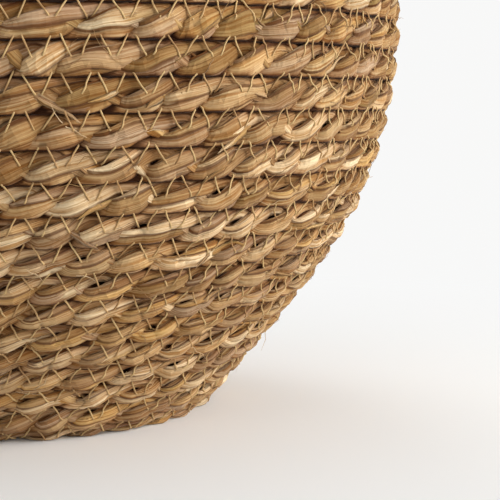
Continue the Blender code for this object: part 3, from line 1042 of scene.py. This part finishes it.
def on_basket(piece, slot, *nodes):
    """A piece that rides the basket itself, in place of the nodes named."""
    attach(piece, "basket")
    if nodes:
        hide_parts(*nodes)


def plait_row(name, node, first, last, finish, slot):
    on_basket(plait(name, row_path(name + "_path", first, last), {}, finish), slot, node)


class BASKET_OT_base(bpy.types.Operator):
    """Plait the flat coil under the basket."""

    bl_idname = "basket.base"
    bl_label = "Base"

    def execute(self, context):
        finish = seagrass("seagrass_base", shade=0.92)
        third = BASE_TURNS / 3
        for number, first in enumerate((BASE_START, third, 2 * third), 1):
            name = f"base_braid_{number}"
            plait_row(name, "base_coil", first, number * third, finish, "seagrass_base")
        return {"FINISHED"}


class BASKET_OT_wall(bpy.types.Operator):
    """Plait the rows of the wall, each over its own row of the frame."""

    bl_idname = "basket.wall"
    bl_label = "Wall rows"

    def execute(self, context):
        finish = seagrass("seagrass_wall")
        for row in range(1, WALL_ROWS):
            last = BASE_TURNS + row
            plait_row(f"row_braid_{row:02d}", f"wall_row_{row:02d}", last - 1, last, finish, "seagrass_wall")
        return {"FINISHED"}


class BASKET_OT_rim(bpy.types.Operator):
    """Plait the last row, which tapers out at the back."""

    bl_idname = "basket.rim"
    bl_label = "Rim"

    def execute(self, context):
        finish = seagrass("seagrass_rim", shade=1.04)
        plait_row("rim_braid", "rim_row", TURNS - 1, TURNS, finish, "seagrass_rim")
        return {"FINISHED"}


class BASKET_OT_thread(bpy.types.Operator):
    """Sew the rows together, outside and inside."""

    bl_idname = "basket.thread"
    bl_label = "Thread"

    def execute(self, context):
        more = {"Reach": 0.012, "Dive": 0.0030, "Braid": shared(braid), "Fibre": shared(thread_finish)}
        for name, ends in SEAMS.items():
            found = []
            for zigzag, points, facing in ((1.0, 9, 1.0), (0.0, 4, -1.0)):
                values = stitch_values(zigzag, points) | more | {"Facing": facing}
                found.append(grow(seam_path(name, *ends), shared(thread_tree), values, name))
            slot = "seagrass_base" if name == "base_thread" else "seagrass_wall"
            on_basket(join(found, name), slot)
        return {"FINISHED"}


class BASKET_OT_loose(bpy.types.Operator):
    """Let leaf ends and fibres stand off the braid, as on any basket of dried leaves."""

    bl_idname = "basket.loose"
    bl_label = "Loose leaf ends and fibres"

    def execute(self, context):
        finish = seagrass("seagrass_loose", shade=1.06, key=90.0)
        for name, shape in LOOSE.items():
            found = []
            for facing, part in ((1.0, 1.0), (-1.0, LOOSE_INSIDE_SHARE)):
                values = shape | {"Density": shape["Density"] * part, "Facing": facing,
                                  "Braid": shared(braid), "Leaf": finish}
                start = add_object("start", bpy.data.meshes.new("start"))
                found.append(grow(start, shared(loose_tree), values, name))
            on_basket(join(found, name), "seagrass_wall")
        return {"FINISHED"}


def foot_line(arcs):
    """Radius, height and lean of a handle's foot beside the wall, at distances along the middle line."""
    stand_off = BRAID_THICKNESS / 2 + HANDLE_SEAT_GAP + HANDLE_DIAMETER / 2
    radius, height, lean = on_line(arcs)
    return radius + stand_off * np.sin(lean), height - stand_off * np.cos(lean), lean


def handle_line(side, fold):
    """Places along a whole handle, foot to foot over the loop, and the way out at each."""
    reach = HANDLE_DIAMETER + HANDLE_FOLD_GAP
    arcs = np.linspace(LINE_LENGTH - HANDLE_FOOT_LENGTH, LINE_LENGTH, POINTS_A_STRETCH)
    _, height, lean = foot_line(arcs)
    top = float(np.interp(fold[2], height + reach * np.sin(lean), arcs))
    far, height, lean = foot_line(np.linspace(top - HANDLE_FOOT_LENGTH, top, HANDLE_FOOT_POINTS))
    around = math.asin(HANDLE_SPAN / 2 / (far[-1] + reach * math.cos(lean[-1])))
    feet = []
    for turned in (-around, around):
        spoke = np.array([side * math.cos(turned), math.sin(turned), 0.0])
        foot = spoke * far[:, None]
        foot[:, 2] = height
        way = spoke * np.sin(lean)[:, None]
        way[:, 2] = -np.cos(lean)
        feet.append((foot, way))
    angles = np.linspace(0.0, math.pi, HANDLE_POINTS)
    power = 2 / HANDLE_SQUARENESS
    across = np.sign(np.cos(angles)) * np.abs(np.cos(angles)) ** power * HANDLE_SPAN / 2
    height = fold[2] + np.abs(np.sin(angles)) ** power * HANDLE_HEIGHT
    loop = np.stack([np.full_like(angles, fold[0]), -across, height], 1)
    loop_way = np.tile([float(side), 0.0, 0.0], (HANDLE_POINTS, 1))
    (foot, way), (other_foot, other_way) = feet
    return np.concatenate([foot, loop, other_foot[::-1]]), np.concatenate([way, loop_way, other_way[::-1]])


def smooth_along(values, window):
    """Values blurred along their line, with their ends kept."""
    kernel = np.hanning(window + 2)[1:-1]
    kernel = kernel / kernel.sum()
    padded = np.concatenate([2 * values[0] - values[window // 2:0:-1], values,
                             2 * values[-1] - values[-2:-2 - window // 2:-1]])
    return np.stack([np.convolve(padded[:, i], kernel, "valid") for i in range(values.shape[1])], 1)


def handle_path(name, side, fold, stretch=None):
    """The path of a handle, or of the stretch between two distances, counted from its end below 0."""
    place, way = handle_line(side, fold)
    arcs = np.concatenate([[0.0], np.cumsum(np.linalg.norm(np.diff(place, axis=0), axis=1))])
    whole = arcs[-1]
    even = np.linspace(0.0, whole, int(whole / HANDLE_STEP))
    place, way = (
        np.stack([np.interp(even, arcs, part) for part in values.T], 1) for values in (place, way))
    place = smooth_along(place, 7)
    ahead = unit(np.gradient(place, axis=0))
    way = smooth_along(way, 9)
    out = unit(way - ahead * (way * ahead).sum(1)[:, None])
    size = np.minimum(*(grown(run, HANDLE_TAPER_LENGTH, HANDLE_TAPER_SHARE) for run in (even, whole - even)))
    carried = {"out": out, "across": np.cross(out, ahead), "ahead": ahead, "size": size,
               "run": even + 50.0 + 5.0 * side}
    first, last = (value % whole for value in stretch) if stretch else (0.0, whole)
    kept = (even >= first) & (even <= last)
    return path_object(name, place[kept], **{label: values[kept] for label, values in carried.items()})


class BASKET_OT_handles(bpy.types.Operator):
    """Plait the two handles, each one braid from foot to foot, its loop set at the fold."""

    bl_idname = "basket.handles"
    bl_label = "Handles"

    def execute(self, context):
        finish = seagrass("seagrass_handle", key=40.0)
        for side, body in ((1, "right_handle"), (-1, "left_handle")):
            fold = FOLDS[body]
            path = handle_path(body + "_path", side, fold)
            piece = plait(body + "_braid", path, HANDLE_PLAIT | {"Seed": sizes().seed + side}, finish)
            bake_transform(piece)
            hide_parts(body + "_loop", body + "_front_foot", body + "_back_foot")
            self.lash(body, side)
        return {"FINISHED"}

    def lash(self, body, side):
        """Sew both feet of a handle to the wall."""
        values = LASHING | {"Thread Radius": sizes().thread_radius * LASHING_THREAD_SHARE,
                            "Fibre": shared(thread_finish)}
        near, far = LASHED
        found = []
        for stretch in ((near, far), (-far, -near)):
            path = handle_path(body + "_foot", side, FOLDS[body], stretch)
            found.append(grow(path, shared(lashing_tree), values, body + "_lashing"))
        on_basket(join(found, body + "_lashing"), "seagrass_handle")


class BASKET_OT_stage(bpy.types.Operator):
    """Set the floor, the lamps and the camera."""

    bl_idname = "basket.stage"
    bl_label = "Stage"

    def execute(self, context):
        add_backdrop()
        add_lamps()
        add_world()
        add_camera()
        return {"FINISHED"}


def add_backdrop():
    """A floor that curves up into a wall far behind, white to the camera away from the basket."""
    material, graph = new_material("backdrop")
    x, y, _ = graph.node("ShaderNodeTexCoord", output="Object").parts()
    away = ((x * x + y * y) ** 0.5).over(GLOW_START, GLOW_FULL)
    surface = graph.node("ShaderNodeBsdfDiffuse", {"Color": colours().floor})
    glow = graph.node("ShaderNodeEmission", {"Color": GLOW, "Strength": 1.0})
    eye = graph.node("ShaderNodeLightPath", output="Is Camera Ray")
    shader = graph.node("ShaderNodeMixShader", {0: away * eye, 1: surface, 2: glow})
    graph.node("ShaderNodeOutputMaterial", {"Surface": shader})
    front, far, bend, half_width, top = -3.0, 2.6, 0.8, 4.0, 3.0
    angles = np.linspace(0, math.pi / 2, 12)
    profile = [(front, 0.0)] + [(far + bend * math.sin(a), bend - bend * math.cos(a)) for a in angles]
    profile.append((far + bend, top))
    points = [(x, y, z) for y, z in profile for x in (-half_width, half_width)]
    faces = [(2 * i, 2 * i + 1, 2 * i + 3, 2 * i + 2) for i in range(len(profile) - 1)]
    mesh = bpy.data.meshes.new("backdrop")
    mesh.from_pydata(points, [], faces)
    mesh.shade_smooth()
    mesh.materials.append(material)
    add_object("backdrop", mesh)


def add_lamps():
    """A broad key from the upper right front, two low lamps from the right, a weak fill and one behind."""
    for name, place, aim_height, side, power in (
            ("key", (1.98, -1.18, 1.7), 0.15, 0.9, 38.5),
            ("side", (1.9, -0.5, 0.40), 0.10, 0.7, 18.0),
            ("low", (1.5, -1.6, 0.45), 0.12, 0.6, 6.5),
            ("fill", (-1.6, -1.9, 0.6), 0.10, 1.2, 3.0),
            ("back", (-0.6, 1.8, 1.9), 0.20, 1.5, 18.0)):
        lamp = bpy.data.lights.new(name, "AREA")
        lamp.shape = "SQUARE"
        lamp.size = side
        lamp.energy = power
        made = add_object(name, lamp)
        made.location = place
        ahead = Vector((0.0, 0.0, aim_height)) - Vector(place)
        made.rotation_euler = ahead.to_track_quat("-Z", "Y").to_euler()


def add_world():
    """An even sky, which the camera sees as white."""
    world = bpy.data.worlds.new("studio")
    bpy.context.scene.world = world
    world.use_nodes = True
    world.node_tree.nodes.clear()
    graph = Graph(world.node_tree)
    sky = graph.node("ShaderNodeBackground", {"Color": (1.0, 1.0, 1.0), "Strength": 0.40})
    seen = graph.node("ShaderNodeBackground", {"Color": GLOW, "Strength": 1.0})
    eye = graph.node("ShaderNodeLightPath", output="Is Camera Ray")
    shader = graph.node("ShaderNodeMixShader", {0: eye, 1: sky, 2: seen})
    graph.node("ShaderNodeOutputWorld", {"Surface": shader})


def add_camera():
    """The photograph's view, from low in front and a little to the right."""
    pixels, focal_pixels, sensor = 500.0, 1335.9, 36.0
    place = Vector((0.0760, -0.7402, 0.1512))
    yaw, pitch, roll = 0.0643, 0.0914, -0.0073
    ahead = Vector((math.sin(yaw) * math.cos(pitch), math.cos(yaw) * math.cos(pitch), -math.sin(pitch)))
    right = Vector((math.cos(yaw), -math.sin(yaw), 0.0))
    up = right.cross(ahead)
    right, up = (right * math.cos(roll) + up * math.sin(roll), up * math.cos(roll) - right * math.sin(roll))
    data = bpy.data.cameras.new("camera")
    data.sensor_width = sensor
    data.lens = sensor * focal_pixels / pixels
    data.clip_start = 0.01
    data.clip_end = 50.0
    camera = add_object("camera", data)
    turned = Matrix((right, up, -ahead)).transposed().to_4x4()
    camera.matrix_world = Matrix.Translation(place) @ turned
    bpy.context.scene.camera = camera
    bpy.context.scene.view_settings.view_transform = "Standard"


class BASKET_PT_panel(bpy.types.Panel):
    """Lists the sizes, the colours and the steps."""

    bl_label = "Belly Basket"
    bl_idname = "BASKET_PT_panel"
    bl_space_type = "VIEW_3D"
    bl_region_type = "UI"
    bl_category = "Basket"

    def draw(self, context):
        for group in (context.scene.basket_sizes, context.scene.basket_colours):
            for name in group.bl_rna.properties.keys():
                if name not in {"rna_type", "name"}:
                    self.layout.prop(group, name)
        for step in STEPS:
            self.layout.operator(step.bl_idname)


STEPS = (BASKET_OT_base, BASKET_OT_wall, BASKET_OT_rim, BASKET_OT_thread, BASKET_OT_loose, BASKET_OT_handles,
         BASKET_OT_stage)
CLASSES = (BasketSizes, BasketColours, *STEPS, BASKET_PT_panel)


def register():
    for kind in CLASSES:
        bpy.utils.register_class(kind)
    bpy.types.Scene.basket_sizes = PointerProperty(type=BasketSizes)
    bpy.types.Scene.basket_colours = PointerProperty(type=BasketColours)


def unregister():
    del bpy.types.Scene.basket_sizes
    del bpy.types.Scene.basket_colours
    for kind in reversed(CLASSES):
        bpy.utils.unregister_class(kind)


def main():
    register()
    bpy.ops.basket.base()
    bpy.ops.basket.wall()
    bpy.ops.basket.rim()
    bpy.ops.basket.thread()
    bpy.ops.basket.loose()
    bpy.ops.basket.handles()
    bpy.ops.basket.stage()
    bpy.data.objects.remove(SHARED[holes], do_unlink=True)


if __name__ == "__main__":
    main()
